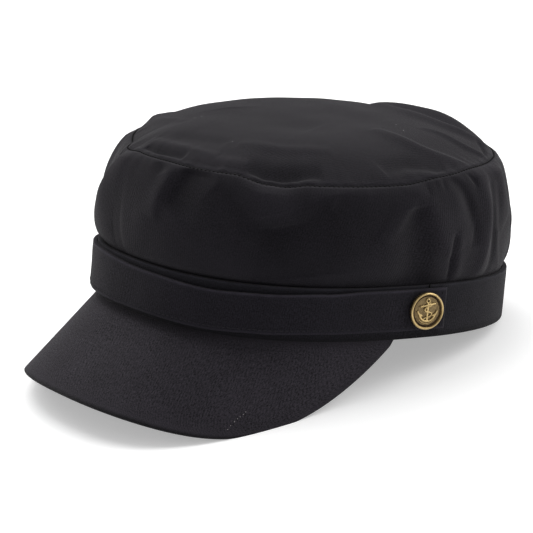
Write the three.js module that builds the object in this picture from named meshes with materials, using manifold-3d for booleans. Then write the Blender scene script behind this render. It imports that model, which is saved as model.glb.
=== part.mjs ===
// A black cotton cadet cap, in millimetres, +Z up. The front faces -Y and the wearer's left side +X.
// It rests on a table: the peak holds the front up, so the whole cap leans back by a few degrees.
// Every piece is one closed wall: the crown's top panel and side, the band, the strap across the
// front with a button at each end, and the peak.

import * as THREE from 'three';
import { mergeVertices } from 'three/addons/utils/BufferGeometryUtils.js';
import Module from 'manifold-3d';

// Driving dimensions. Angles round the cap are in degrees from the front, positive to the wearer's left.

const LEAN = 12.95;             // the cap leans back by this much on the table
const PRESS = 1.0;              // how far the cloth is pressed flat by the table
const GAP = 0.3;                // left between pieces that touch
const CLOTH = 1.8;              // wall of the crown, outer cloth and facing together
const WELD = 1e-4;              // points closer than this are one

const band = {
  halfLength: 99.9,
  halfWidth: 84.3,
  fullness: 2.41,               // 2 is an ellipse, more is squarer
  frontWidening: 0.039,         // the head is a little wider towards the temples
  height: 24.7,
  wall: 2.4,
  edge: 0.6,                    // the folded edges are rounded by this much
};
const INSIDE = -band.wall - GAP;  // what is sewn in stands inside the band's wall

const seam = {                  // where the top panel is sewn to the side
  halfLength: 91,
  halfWidth: 85,
  forward: 3.4,
  height: 76.4,
  noseDown: 3.6,                // degrees that its front dips against the band
  sideDown: 2.3,                // degrees that the wearer's left side dips
  slope: 60,                    // degrees from level of the cloth's facing at the seam
  gap: 0.18,                    // the panel and the side each stop this far from the seam line
};

const side = {                  // how the crown's side swells between the band and the seam
  hemInside: 8,                 // tucked down inside the band
  clear: 0.5,                   // it comes out this far over the band's upper edge
  bulge: 6,
  bulgeHeight: 8,
  shoulder: 9.5,
  shoulderDrop: 4.5,
  rows: 9,
};

const top = {
  rise: 15.2,                   // the panel puffs up over its seam
  puff: 4,                      // 2 is a plain dome, more has steeper sides
  settling: 8,                  // how soon the seam's rise dies away towards the centre
  drawing: 3,                   // and its spread
  rings: 7,
  crowding: 1.4,                // the rings stand closer together towards the seam
};

// How steeply folds die out: over a sixth of the side at the band, a ninth of a panel at the seam.
const fade = { band: 6, seam: 9 };

const strap = {
  thickness: 1.9,
  edge: 0.5,
  reach: 97.6,                  // its ends, just behind the buttons
  columns: 54,
};

const peak = {
  reach: 88.2,                  // it ends just ahead of the buttons
  frontLength: 51.8,            // along its slope
  sideLength: 68.2,
  frontSlope: 42.4,             // degrees down from the band's plane
  sideSlope: 57.0,
  splay: 3,                     // degrees that it widens at its sides
  cornerPower: 6,
  cornerRound: 0.81,
  thickness: 2.4,
  flange: 5,                    // turned up inside the band, where it is sewn
  flangeThickness: 2.2,
  edgeRound: 0.9,
  rulings: 5,
  columns: 44,
  crowding: 0.4,                // the columns stand closer together towards the corners
  end: 0.993,                   // where the last column stands, as a share of the reach
};

const button = {
  radius: 8.8,
  angle: 91.5,
  height: 14.1,                 // its centre, above the band's lower edge
  turn: 9,                      // degrees that it is turned on its stem, to face more to the front
  stem: 1.2,                    // it is sewn on by a short stem at its back
  stemRadius: 1.8,
  edge: 1,                      // the shell's back edge is turned in by this much
  rim: 2.6,                     // height of the rolled rim
  rimWidth: 1.2,
  field: 1.5,                   // height of the sunk field at the rim
  dome: 0.25,                   // and how much it rises to its middle
  sides: 30,
};

// The anchor on the button, in millimetres from the button's middle: x to the right, y up.
const anchor = {
  root: 1.0,                    // height over the button's back where it starts, inside the field
  relief: 1.4,
  shank: { halfWidth: 0.55, halfHeight: 4.2 },
  stock: { y: 2.9, halfWidth: 3.0, halfHeight: 0.42, turn: 6 },
  ring: { x: 0, y: 4.7, radius: 0.95, width: 0.6, from: 0, to: 359.5 },
  arms: { x: 0, y: -0.4, radius: 3.9, width: 0.95, from: 205, to: 335 },
  fluke: [[2.6, -1.9], [4.5, -0.1], [4.4, -2.7]],
  rope: [
    { x: 1.1, y: 1.3, radius: 1.6, width: 0.55, from: -110, to: 80 },
    { x: -1.2, y: -1.5, radius: 1.7, width: 0.55, from: 70, to: 250 },
  ],
};

// Stretches of the crown with their spacing in degrees: close where it is creased, wide where plain.
const stretches = [
  { from: -60, to: -30, step: 5 },
  { from: -30, to: 25, step: 3.4375 },
  { from: 25, to: 80, step: 5 },
  { from: 80, to: 140, step: 2.5 },
  { from: 140, to: 300, step: 8 },
];

// The seam line wanders: how far it rises over its plain oval and spreads out from it at each angle.
const seamWander = [
  { angle: -100, rise: 0, spread: 0 },
  { angle: -66, rise: 0, spread: -1.5 },
  { angle: -46, rise: 0, spread: -2 },
  { angle: -22, rise: 1.2, spread: -0.8 },
  { angle: -13, rise: 0.3, spread: 0 },
  { angle: -1, rise: 0.7, spread: 0 },
  { angle: 19, rise: 2.5, spread: 0 },
  { angle: 36, rise: 1.9, spread: 0 },
  { angle: 44, rise: -0.4, spread: 0 },
  { angle: 49, rise: -0.8, spread: 0 },
  { angle: 56, rise: 0.5, spread: 0 },
  { angle: 84, rise: 0.3, spread: 0 },
  { angle: 99, rise: 2.3, spread: 0 },
  { angle: 112, rise: 3.2, spread: 0 },
  { angle: 130, rise: 2.3, spread: 0 },
  { angle: 145, rise: 1.2, spread: 0 },
  { angle: 180, rise: 0, spread: 0 },
];

// Folds of the crown's side. Height is 0 at the band and 1 at the seam, across is the half width in
// millimetres, along is the half length in heights, slant turns the fold, and depth is outward.
const sideFolds = [
  { name: 'front ridge', angle: -15.5, height: 0.86, across: 4.5, along: 0.22, slant: 0, depth: 2.2 },
  { name: 'its lower end', angle: -25, height: 0.46, across: 7, along: 0.18, slant: 45, depth: 1.6 },
  { name: 'dropped cloth', angle: -31, height: 0.8, across: 9, along: 0.32, slant: 12, depth: -4.2 },
  { name: 'slack under it', angle: -30, height: 0.16, across: 22, along: 0.16, slant: 0, depth: 2.0 },
  { name: 'soft ridge', angle: 12, height: 0.8, across: 5, along: 0.25, slant: 6, depth: 1.6 },
  { name: 'pit by the seam', angle: 22, height: 0.85, across: 9, along: 0.2, slant: 14, depth: -2.8 },
  { name: 'brow', angle: 20, height: 0.34, across: 22, along: 0.2, slant: 0, depth: 1.4 },
  { name: 'bulge under the notch', angle: 45, height: 0.85, across: 10, along: 0.17, slant: -10, depth: 2.5 },
  { name: 'valley below it', angle: 49, height: 0.55, across: 14, along: 0.07, slant: 0, depth: -1.2 },
  { name: 'temple hollow', angle: 57, height: 0.45, across: 20, along: 0.3, slant: 0, depth: -2.0 },
  { name: 'tent, front arm', angle: 85.5, height: 0.74, across: 3.5, along: 0.12, slant: 18, depth: 1.4 },
  { name: 'tent, back arm', angle: 92.5, height: 0.6, across: 3.5, along: 0.2, slant: -18, depth: 1.4 },
  { name: 'hollow over the button', angle: 90, height: 0.42, across: 6, along: 0.38, slant: -5, depth: -2.6 },
  { name: 'side crease', angle: 99, height: 0.3, across: 2.6, along: 0.26, slant: -3, depth: -1.4 },
  { name: 'short deep crease', angle: 104.8, height: 0.74, across: 3.2, along: 0.22, slant: -14, depth: -2.2 },
  { name: 'long ridge', angle: 113, height: 0.5, across: 4.4, along: 0.45, slant: 4, depth: 2.3 },
  { name: 'hollow behind it', angle: 118.4, height: 0.45, across: 4, along: 0.3, slant: 2, depth: -1.6 },
  { name: 'low ridge', angle: 122.5, height: 0.25, across: 4, along: 0.2, slant: -12, depth: 1.3 },
  { name: 'back ridge', angle: 127.5, height: 0.8, across: 4.5, along: 0.3, slant: 0, depth: 2.5 },
  { name: 'hollow beyond it', angle: 137, height: 0.8, across: 8, along: 0.35, slant: -8, depth: -2.4 },
  { name: 'full shoulder', angle: 128, height: 0.9, across: 22, along: 0.12, slant: 0, depth: 1.3 },
  { name: 'flat back quarter', angle: 131, height: 0.3, across: 18, along: 0.25, slant: 0, depth: -1.7 },
  { name: 'slack at the back', angle: 172, height: 0.5, across: 22, along: 0.35, slant: 0, depth: -1.8 },
  { name: 'hidden side fold', angle: 258, height: 0.6, across: 14, along: 0.35, slant: 6, depth: -2.0 },
];

// Folds of the top panel, by the plan place of their middle from the panel's centre. Heading is in
// degrees from +X towards +Y, along and across are half sizes.
const topFolds = [
  { name: 'pull to the back corner', x: 26, y: 57.5, heading: 14, along: 30, across: 4, height: 1.8 },
  { name: 'swell behind it', x: 16, y: 70, heading: 8, along: 26, across: 8, height: 3.6 },
  { name: 'valley in front of it', x: 28, y: 49, heading: 10, along: 28, across: 5, height: -1.0 },
  { name: 'middle pull', x: 56, y: 47, heading: 32, along: 14, across: 4, height: 1.1 },
  { name: 'lower pull', x: 60, y: 17, heading: 26, along: 16, across: 5, height: 1.4 },
  { name: 'pit at the front', x: 7, y: -82, heading: 4, along: 12, across: 4, height: -2.6 },
  { name: 'notch at the seam', x: 58, y: -58, heading: 48, along: 10, across: 5, height: -2.2 },
  { name: 'swell on the far side', x: -67, y: -35, heading: 85, along: 24, across: 9, height: 3.0 },
  { name: 'slack in the middle', x: -2, y: -28, heading: 5, along: 26, across: 14, height: -0.9 },
];

// The strap's lower and upper edges above the band's lower edge: it lies a little askew.
const strapEdges = [
  { angle: -99, lower: 4.6, upper: 22.6 },
  { angle: -50, lower: 3.2, upper: 22.8 },
  { angle: -16, lower: 2.2, upper: 23.3 },
  { angle: 6, lower: 2.9, upper: 21.5 },
  { angle: 30, lower: 2.4, upper: 20.2 },
  { angle: 47, lower: 3.3, upper: 20.9 },
  { angle: 66, lower: 4.4, upper: 22.1 },
  { angle: 80, lower: 4.8, upper: 23.4 },
  { angle: 99, lower: 4.6, upper: 23.4 },
];

const colours = { twill: 0x1c1b1f, top: 0x242327, strap: 0x19181b, peak: 0x201f23, brass: 0x9a7434 };

const UP = new THREE.Vector3(0, 0, 1);
const radians = THREE.MathUtils.degToRad;

// Reads a column of a table between its rows, with an easy curve from one row to the next.
function readTable(rows, column, angle) {
  const last = rows[rows.length - 1];
  if (angle <= rows[0].angle) return rows[0][column];
  if (angle >= last.angle) return last[column];
  const next = rows.findIndex((row) => row.angle > angle);
  const before = rows[next - 1];
  const part = (angle - before.angle) / (rows[next].angle - before.angle);
  return THREE.MathUtils.lerp(before[column], rows[next][column], part * part * (3 - 2 * part));
}

// The band's outline seen from above, grown outwards by some millimetres.
function ovalPoint(angle, grow, z) {
  const power = 2 / band.fullness;
  const sine = Math.sin(radians(angle));
  const cosine = Math.cos(radians(angle));
  const x = (band.halfWidth + grow) * Math.sign(sine) * Math.abs(sine) ** power;
  const y = -(band.halfLength + grow) * Math.sign(cosine) * Math.abs(cosine) ** power;
  return new THREE.Vector3(x * (1 + band.frontWidening * cosine), y, z);
}

// An angle brought between -180 and 180.
function halfTurn(angle) {
  return ((angle + 180) % 360 + 360) % 360 - 180;
}

// The plain tilted oval that the seam of the top panel follows.
function seamOval(angle, grow) {
  const x = (seam.halfWidth + grow) * Math.sin(radians(angle));
  const y = -(seam.halfLength + grow) * Math.cos(radians(angle)) - seam.forward;
  const tiltUp = Math.sin(radians(seam.noseDown)) * y - Math.sin(radians(seam.sideDown)) * x;
  return new THREE.Vector3(x, y, seam.height + tiltUp);
}

// The seam itself, which wanders off that oval.
function seamPoint(angle, grow) {
  const turn = halfTurn(angle);
  const point = seamOval(angle, grow + readTable(seamWander, 'spread', turn));
  return point.addScaledVector(UP, readTable(seamWander, 'rise', turn));
}

// The level direction that points away from the head at an angle round the cap.
function outward(angle) {
  const point = seamOval(angle, 0);
  return new THREE.Vector3(point.x / seam.halfWidth ** 2, point.y / seam.halfLength ** 2, 0).normalize();
}

// The way the cloth faces: outwards at the band, and turned up to the seam's slope at the seam.
function facing(angle, slope) {
  const out = outward(angle).multiplyScalar(Math.cos(radians(slope)));
  return out.addScaledVector(UP, Math.sin(radians(slope)));
}

function foldBump(across, along) {
  return Math.exp(-(across ** 2) - along ** 2);
}

function sideFoldDepth(angle, height) {
  let depth = 0;
  for (const fold of sideFolds) {
    const turn = halfTurn(angle - fold.angle - fold.slant * (height - fold.height));
    const across = (radians(turn) * band.halfWidth) / fold.across;
    depth += fold.depth * foldBump(across, (height - fold.height) / fold.along);
  }
  return depth * Math.min(1, height * fade.band) * Math.min(1, (1 - height) * fade.seam);
}

function topFoldHeight(x, y, part) {
  let height = 0;
  for (const fold of topFolds) {
    const cosine = Math.cos(radians(fold.heading));
    const sine = Math.sin(radians(fold.heading));
    const along = ((x - fold.x) * cosine + (y - fold.y) * sine) / fold.along;
    const across = ((y - fold.y) * cosine - (x - fold.x) * sine) / fold.across;
    height += fold.height * foldBump(across, along);
  }
  return height * Math.min(1, (1 - part) * fade.seam);
}

// A point of the crown's side: height 0 is at the band's upper edge, 1 at the seam.
function sidePoint(angle, height) {
  const controls = [
    ovalPoint(angle, INSIDE, band.height + side.clear),
    ovalPoint(angle, side.bulge, band.height + side.bulgeHeight),
    seamPoint(angle, side.shoulder).addScaledVector(UP, -side.shoulderDrop),
    seamPoint(angle, seam.gap),
  ];
  const point = new THREE.CubicBezierCurve3(...controls).getPoint(height);
  return point.addScaledVector(outward(angle), sideFoldDepth(angle, height));
}

// A point of the top panel: part 0 is its centre, 1 its seam.
function topPoint(angle, part) {
  const turn = halfTurn(angle);
  const centre = new THREE.Vector3(0, -seam.forward, seam.height);
  const spread = readTable(seamWander, 'spread', turn) * part ** top.drawing;
  const point = centre.clone().lerp(seamOval(angle, -seam.gap), part).addScaledVector(outward(angle), spread);
  const puff = top.rise * (1 - part ** top.puff);
  const wander = readTable(seamWander, 'rise', turn) * part ** top.settling;
  return point.addScaledVector(UP, puff + wander + topFoldHeight(point.x, point.y - centre.y, part));
}

// Sets a point of the upright cap on the table: leaned back, lowered, and pressed flat where it touches.
const LEAN_TURN = new THREE.Matrix4().makeRotationX(radians(-LEAN));
const STAND = band.halfLength * Math.sin(radians(LEAN)) - PRESS;

function settle(point) {
  const placed = point.clone().applyMatrix4(LEAN_TURN);
  placed.z = Math.max(0, placed.z + STAND);
  return placed;
}

// A closed surface over rows of points, whose last row may join its first, and its last column too.
// Where they don't join, the points of each end lie together and close it.
function skin(rows, { rowsJoin, columnsJoin }) {
  const width = rows[0].length;
  const at = (row, column) => (row % rows.length) * width + (column % width);
  const indices = [];
  for (let row = 0; row < rows.length - (rowsJoin ? 0 : 1); row += 1) {
    for (let column = 0; column < width - (columnsJoin ? 0 : 1); column += 1) {
      const [a, b] = [at(row, column), at(row, column + 1)];
      const [c, d] = [at(row + 1, column + 1), at(row + 1, column)];
      indices.push(a, b, c, a, c, d);
    }
  }
  const corners = rows.flat().flatMap((point) => point.toArray());
  const geometry = new THREE.BufferGeometry();
  geometry.setAttribute('position', new THREE.Float32BufferAttribute(corners, 3));
  geometry.setIndex(indices);
  return tidySurface(mergeVertices(geometry, WELD));
}

// Drops the triangles that collapsed when their corners met, and turns the surface to face outwards.
function tidySurface(geometry) {
  const index = geometry.getIndex().array;
  const place = geometry.getAttribute('position');
  const corner = (k) => new THREE.Vector3().fromBufferAttribute(place, index[k]);
  const kept = [];
  let volume = 0;
  for (let k = 0; k < index.length; k += 3) {
    const [a, b, c] = [index[k], index[k + 1], index[k + 2]];
    if (a === b || b === c || c === a) continue;
    kept.push(a, b, c);
    volume += corner(k).dot(corner(k + 1).cross(corner(k + 2)));
  }
  if (volume < 0) kept.reverse();
  geometry.setIndex(kept);
  geometry.computeVertexNormals();
  return geometry;
}

// Draws the two ends of an open run of sections together on the middle of each.
function closeEnds(sections) {
  const middle = (section) => section.map((point, k) => {
    const partner = section[section.length - 1 - k];
    return point.clone().lerp(partner, 0.5);
  });
  return [middle(sections[0]), ...sections, middle(sections[sections.length - 1])];
}

function transpose(sections) {
  return sections[0].map((_, k) => sections.map((section) => section[k]));
}

function clothMesh(name, geometry, colour) {
  const material = new THREE.MeshStandardMaterial({ color: colour, roughness: 0.95, metalness: 0 });
  const mesh = new THREE.Mesh(geometry, material);
  mesh.name = name;
  return mesh;
}

const crownAngles = stretches.flatMap(({ from, to, step }) => {
  const count = Math.round((to - from) / step);
  return Array.from({ length: count }, (_, k) => from + k * step);
});

// Shares from 0 to 1 in a number of equal steps.
function shares(count) {
  return Array.from({ length: count + 1 }, (_, k) => k / count);
}

// The top panel: a puffed disc of cloth, its rings running out over the top and back underneath.
function crownTop() {
  const rings = shares(top.rings).map((share) => 1 - (1 - share) ** top.crowding);
  const ring = (part, depth) => crownAngles.map((angle) => {
    const slope = THREE.MathUtils.lerp(90, seam.slope, part ** 2);
    return settle(topPoint(angle, part).addScaledVector(facing(angle, slope), -depth));
  });
  const outer = rings.map((part) => ring(part, 0));
  const inner = rings.map((part) => ring(part, CLOTH)).reverse();
  const rows = [...outer, ...inner];
  return clothMesh('crown_top', skin(rows, { rowsJoin: false, columnsJoin: true }), colours.top);
}

// The side of the crown: one wall from its hem inside the band up to the seam.
function crownSide() {
  const heights = shares(side.rows);
  const sections = crownAngles.map((angle) => {
    const hem = ovalPoint(angle, INSIDE, band.height - side.hemInside);
    const outer = [hem, ...heights.map((height) => sidePoint(angle, height))];
    const inner = outer.map((point, k) => {
      const height = k === 0 ? 0 : heights[k - 1];
      return point.clone().addScaledVector(facing(angle, seam.slope * height ** 2), -CLOTH);
    });
    return [...outer, ...inner.reverse()].map(settle);
  });
  return clothMesh('crown_side', skin(transpose(sections), { rowsJoin: true, columnsJoin: true }), colours.twill);
}

// The band: a folded ring of cloth, thicker than the crown and proud of it.
function headBand() {
  const { wall, edge, height } = band;
  const profile = [
    [-edge, 0], [0, edge], [0, height - edge], [-edge, height],
    [edge - wall, height], [-wall, height - edge], [-wall, edge], [edge - wall, 0],
  ];
  const sections = crownAngles.map((angle) => profile.map(([grow, z]) => settle(ovalPoint(angle, grow, z))));
  return clothMesh('head_band', skin(transpose(sections), { rowsJoin: true, columnsJoin: true }), colours.twill);
}

// The strap lies round the front of the band and ends under the buttons.
function frontStrap() {
  const { thickness, edge, reach, columns } = strap;
  const sections = shares(columns).map((share) => {
    const angle = THREE.MathUtils.lerp(-reach, reach, share);
    const lower = readTable(strapEdges, 'lower', angle);
    const upper = readTable(strapEdges, 'upper', angle);
    const profile = [
      [GAP + thickness - edge, lower], [GAP + thickness, lower + edge],
      [GAP + thickness, upper - edge], [GAP + thickness - edge, upper],
      [GAP, upper], [GAP, upper - edge], [GAP, lower + edge], [GAP, lower],
    ];
    return profile.map(([grow, z]) => settle(ovalPoint(angle, grow, z)));
  });
  const rows = transpose(closeEnds(sections));
  return clothMesh('front_strap', skin(rows, { rowsJoin: true, columnsJoin: false }), colours.strap);
}

// The peak: straight rulings that run forwards and down from the band, steeper at the sides, so it
// arches over the brow. Its back edge is turned up inside the band.
function peakSection(angle) {
  const share = Math.abs(angle) / peak.reach;
  const slope = radians(THREE.MathUtils.lerp(peak.frontSlope, peak.sideSlope, share ** 2));
  const plain = THREE.MathUtils.lerp(peak.frontLength, peak.sideLength, share ** 2);
  const length = plain * (1 - share ** peak.cornerPower) ** peak.cornerRound;
  const splay = radians((peak.splay * angle) / peak.reach);
  const ruling = new THREE.Vector3(Math.sin(splay), -Math.cos(slope), -Math.sin(slope)).normalize();
  const root = ovalPoint(angle, INSIDE, -GAP);
  const along = ovalPoint(angle + 0.5, INSIDE, 0).sub(ovalPoint(angle - 0.5, INSIDE, 0));
  const face = ruling.clone().cross(along).normalize();
  const outer = shares(peak.rulings).map((part) => root.clone().addScaledVector(ruling, part * length));
  const inner = outer.map((point) => point.clone().addScaledVector(face, -peak.thickness)).reverse();
  const lip = outer[outer.length - 1].clone().lerp(inner[0], 0.5).addScaledVector(ruling, peak.edgeRound);
  const flangeOut = ovalPoint(angle, INSIDE, peak.flange);
  const flangeIn = ovalPoint(angle, INSIDE - peak.flangeThickness, peak.flange);
  return [flangeOut, ...outer, lip, lip, ...inner, flangeIn];
}

function capPeak() {
  const sections = shares(peak.columns).map((share) => {
    const turn = 2 * share - 1;
    const crowded = (1 + peak.crowding) * turn - peak.crowding * turn ** 3;
    return peakSection(peak.reach * peak.end * crowded).map(settle);
  });
  const rows = transpose(closeEnds(sections));
  return clothMesh('peak', skin(rows, { rowsJoin: true, columnsJoin: false }), colours.peak);
}

// The button: a turned brass disc on a stem, with a rolled rim round a sunk, slightly domed field.
function buttonDisc() {
  const { radius, edge, rim, rimWidth, field, dome, stem, stemRadius } = button;
  const round = rimWidth / 2;
  const inner = radius - rimWidth - round;
  const profile = [
    [0, -stem], [stemRadius, -stem], [stemRadius, 0],
    [radius - edge, 0], [radius, edge], [radius, rim - round], [radius - round, rim],
    [radius - rimWidth, rim], [inner, field], [inner / 2, field + 0.75 * dome], [0, field + dome],
  ];
  const points = profile.map(([x, y]) => new THREE.Vector2(x, y));
  return new THREE.LatheGeometry(points, button.sides).rotateX(Math.PI / 2);
}

function barShape({ x = 0, y = 0, halfWidth, halfHeight, turn = 0 }) {
  const corners = [[-1, -1], [1, -1], [1, 1], [-1, 1]].map(([a, b]) => {
    const corner = new THREE.Vector2(a * halfWidth, b * halfHeight);
    return corner.rotateAround(new THREE.Vector2(), radians(turn)).add(new THREE.Vector2(x, y));
  });
  return new THREE.Shape(corners);
}

function arcShape({ x, y, radius, width, from, to }) {
  const shape = new THREE.Shape();
  shape.absarc(x, y, radius + width / 2, radians(from), radians(to), false);
  shape.absarc(x, y, radius - width / 2, radians(to), radians(from), true);
  shape.closePath();
  return shape;
}

function flukeShape(mirror) {
  return new THREE.Shape(anchor.fluke.map(([x, y]) => new THREE.Vector2(x * mirror, y)));
}

// Shank, stock, ring, arms, flukes and a rope that crosses the shank.
function anchorShapes() {
  const { shank, stock, ring, arms, rope } = anchor;
  return [barShape(shank), barShape(stock), flukeShape(1), flukeShape(-1), ...[ring, arms, ...rope].map(arcShape)];
}

const wasm = await Module();
wasm.setup();

function toSolid(geometry) {
  geometry.deleteAttribute('normal');
  geometry.deleteAttribute('uv');
  const merged = tidySurface(mergeVertices(geometry, WELD));
  return new wasm.Manifold(new wasm.Mesh({
    numProp: 3,
    vertProperties: new Float32Array(merged.getAttribute('position').array),
    triVerts: new Uint32Array(merged.getIndex().array),
  }));
}

function fromSolid(solid) {
  const mesh = solid.getMesh();
  const geometry = new THREE.BufferGeometry();
  geometry.setAttribute('position', new THREE.Float32BufferAttribute(mesh.vertProperties, 3));
  geometry.setIndex(Array.from(mesh.triVerts));
  geometry.computeVertexNormals();
  return geometry;
}

function buttonGeometry() {
  const settings = { depth: anchor.relief, bevelEnabled: false, curveSegments: 8 };
  let solid = toSolid(buttonDisc());
  for (const shape of anchorShapes()) {
    solid = solid.add(toSolid(new THREE.ExtrudeGeometry(shape, settings).translate(0, 0, anchor.root)));
  }
  return fromSolid(solid);
}

// Sets a button upright on the strap's face, where its stem meets it.
function capButton(name, angle, geometry) {
  const material = new THREE.MeshStandardMaterial({ color: colours.brass, roughness: 0.4, metalness: 1 });
  const mesh = new THREE.Mesh(geometry, material);
  const seat = ovalPoint(angle, GAP + strap.thickness + GAP + button.stem, button.height);
  const along = ovalPoint(angle + 2, 0, 0).sub(ovalPoint(angle - 2, 0, 0));
  along.normalize().applyAxisAngle(UP, radians(-button.turn * Math.sign(angle)));
  const out = along.clone().cross(UP);
  const basis = new THREE.Matrix4().makeBasis(along, UP, out);
  mesh.name = name;
  mesh.quaternion.setFromRotationMatrix(LEAN_TURN.clone().multiply(basis));
  mesh.position.copy(seat.applyMatrix4(LEAN_TURN)).addScaledVector(UP, STAND);
  return mesh;
}

// The whole cap, moved so that its origin is under the middle of its box, on the table.
const cap = new THREE.Group();
const brassButton = buttonGeometry();
cap.add(crownTop(), crownSide(), headBand(), frontStrap(), capPeak());
cap.add(capButton('button_left', button.angle, brassButton));
cap.add(capButton('button_right', -button.angle, brassButton));

const middle = new THREE.Box3().setFromObject(cap).getCenter(new THREE.Vector3());
cap.position.set(-middle.x, -middle.y, 0);

export default cap;
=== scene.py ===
import math

import bmesh
import bpy
from mathutils import Matrix, Vector, noise


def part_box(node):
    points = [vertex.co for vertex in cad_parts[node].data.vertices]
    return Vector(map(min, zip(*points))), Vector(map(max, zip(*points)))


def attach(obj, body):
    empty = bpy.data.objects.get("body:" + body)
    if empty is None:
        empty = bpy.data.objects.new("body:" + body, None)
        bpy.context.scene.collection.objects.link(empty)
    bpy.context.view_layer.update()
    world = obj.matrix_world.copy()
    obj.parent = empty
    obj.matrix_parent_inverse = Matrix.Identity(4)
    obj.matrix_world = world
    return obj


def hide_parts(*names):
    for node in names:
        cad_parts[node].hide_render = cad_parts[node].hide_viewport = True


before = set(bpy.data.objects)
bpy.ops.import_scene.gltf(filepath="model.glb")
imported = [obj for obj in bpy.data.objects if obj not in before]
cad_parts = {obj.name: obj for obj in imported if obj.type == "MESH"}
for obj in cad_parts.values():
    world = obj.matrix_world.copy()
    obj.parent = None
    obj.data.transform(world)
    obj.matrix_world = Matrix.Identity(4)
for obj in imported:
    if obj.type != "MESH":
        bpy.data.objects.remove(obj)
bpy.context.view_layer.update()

# How the cap stands and is seen. It leans back on the table, its front held up by the peak. Points
# are worked out in millimetres on the upright cap and then set down, and all angles round the cap
# are in degrees from the front, positive to the wearer's left.
MM = 0.001
LEAN = math.radians(12.95)
PRESS = 1.0
BAND_LENGTH, BAND_WIDTH = 99.9, 84.3
BAND_EDGE = 0.6
STAND = BAND_LENGTH * math.sin(LEAN) - PRESS
UP = Vector((0, 0, 1))
band_low, band_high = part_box("head_band")
PIVOT = Vector((
    (band_low.x + band_high.x) / 2 / MM,
    band_low.y / MM + BAND_LENGTH * math.cos(LEAN) - BAND_EDGE * math.sin(LEAN),
    STAND,
))
lean_turn = Matrix.Rotation(-LEAN, 3, "X")


def settle(point):
    """Leans a point of the upright cap back, sets it on the table in metres and presses it flat."""
    placed = lean_turn @ point + PIVOT
    placed.z = max(0.0, placed.z)
    return placed * MM


AZIMUTH, ELEVATION, ROLL = 55.85, 19.15, -5.77
DISTANCE = 1175.8
LENS = 162.4
LEFT_OF_PIVOT, OVER_PIVOT = 17.2, 16.3
azimuth, elevation = math.radians(AZIMUTH), math.radians(ELEVATION)
back = Vector((
    math.sin(azimuth) * math.cos(elevation),
    -math.cos(azimuth) * math.cos(elevation),
    math.sin(elevation),
))
right = Matrix.Rotation(math.radians(ROLL), 3, back) @ Vector((math.cos(azimuth), math.sin(azimuth), 0))
up = back.cross(right)
eye = PIVOT + back * DISTANCE
aim = PIVOT - right * LEFT_OF_PIVOT + up * OVER_PIVOT
back = (eye - aim).normalized()
right = up.cross(back).normalized()
up = back.cross(right)
camera = bpy.data.objects.new("camera", bpy.data.cameras.new("camera"))
camera.data.lens = LENS
camera.matrix_world = Matrix.Translation(eye * MM) @ Matrix((right, up, back)).transposed().to_4x4()
bpy.context.scene.collection.objects.link(camera)
bpy.context.scene.camera = camera

# The head band: cotton twill folded double to a ring about 25 mm high, sewn round the foot of the crown.
# Its folded edges stand proud of the crown. A thin pale line is painted along the top fold, partly
# rubbed wear and partly a painted highlight, and the foot of the band is painted darker all round as
# painted shade.
BAND_FULLNESS = 2.41
FRONT_WIDENING = 0.039
BAND_HEIGHT = 24.7
BAND_WALL = 2.4
GAP = 0.3
MM_PER_DEGREE = 1.536
HEAD_RADIUS = 88


def oval_point(angle, grow, z):
    """The band's outline seen from above, grown outwards, at a height."""
    power = 2 / BAND_FULLNESS
    sine, cosine = math.sin(math.radians(angle)), math.cos(math.radians(angle))
    x = (BAND_WIDTH + grow) * math.copysign(abs(sine) ** power, sine)
    y = -(BAND_LENGTH + grow) * math.copysign(abs(cosine) ** power, cosine)
    return Vector((x * (1 + FRONT_WIDENING * cosine), y, z))


def ripple(angle, pitch, other):
    """Smooth random waves round the cap, about a pitch in mm apart, that meet after a full turn."""
    turn = math.radians(angle)
    x, y = HEAD_RADIUS * math.sin(turn), HEAD_RADIUS * math.cos(turn)
    return noise.noise(Vector((x / pitch, y / pitch, other)))


def near(value, centre, width):
    """One at the centre, dying away to nothing a few widths from it."""
    return math.exp(-((value - centre) / width) ** 2)


def finish_piece(name, mesh, material):
    """Makes an object of a bmesh, smooth shaded and in one material."""
    for face in mesh.faces:
        face.smooth = True
    data = bpy.data.meshes.new(name)
    mesh.to_mesh(data)
    mesh.free()
    data.materials.append(material)
    piece = bpy.data.objects.new(name, data)
    bpy.context.scene.collection.objects.link(piece)
    return piece


def cloth_grid(name, columns, rows, drop, turn, place, material):
    """A grid of cloth. turn(share) gives the angle of a column, place(angle, part) a point on the
    upright cap and how much paler or darker its colour is painted, for wear and for light and shade;
    drop is the run from edge to edge in mm, for the weave."""
    mesh = bmesh.new()
    weave = mesh.loops.layers.uv.new("weave")
    # This layer holds painted light and wear: pale painted highlights and dark painted shade on the
    # cloth, and rubbed wear on the cloth and the brass.
    painted_light_and_wear = mesh.verts.layers.float.new("wear_and_painted_light")
    bmesh.ops.create_grid(mesh, x_segments=columns, y_segments=rows, size=0.5)
    for face in mesh.faces:
        for loop in face.loops:
            corner = loop.vert.co
            loop[weave].uv = (turn(corner.x + 0.5) * MM_PER_DEGREE, (corner.y + 0.5) * drop)
    for vert in mesh.verts:
        point, vert[painted_light_and_wear] = place(turn(vert.co.x + 0.5), vert.co.y + 0.5)
        vert.co = settle(point)
    bmesh.ops.remove_doubles(mesh, verts=mesh.verts, dist=1e-6)
    bmesh.ops.recalc_face_normals(mesh, faces=mesh.faces)
    return finish_piece(name, mesh, material)


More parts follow.
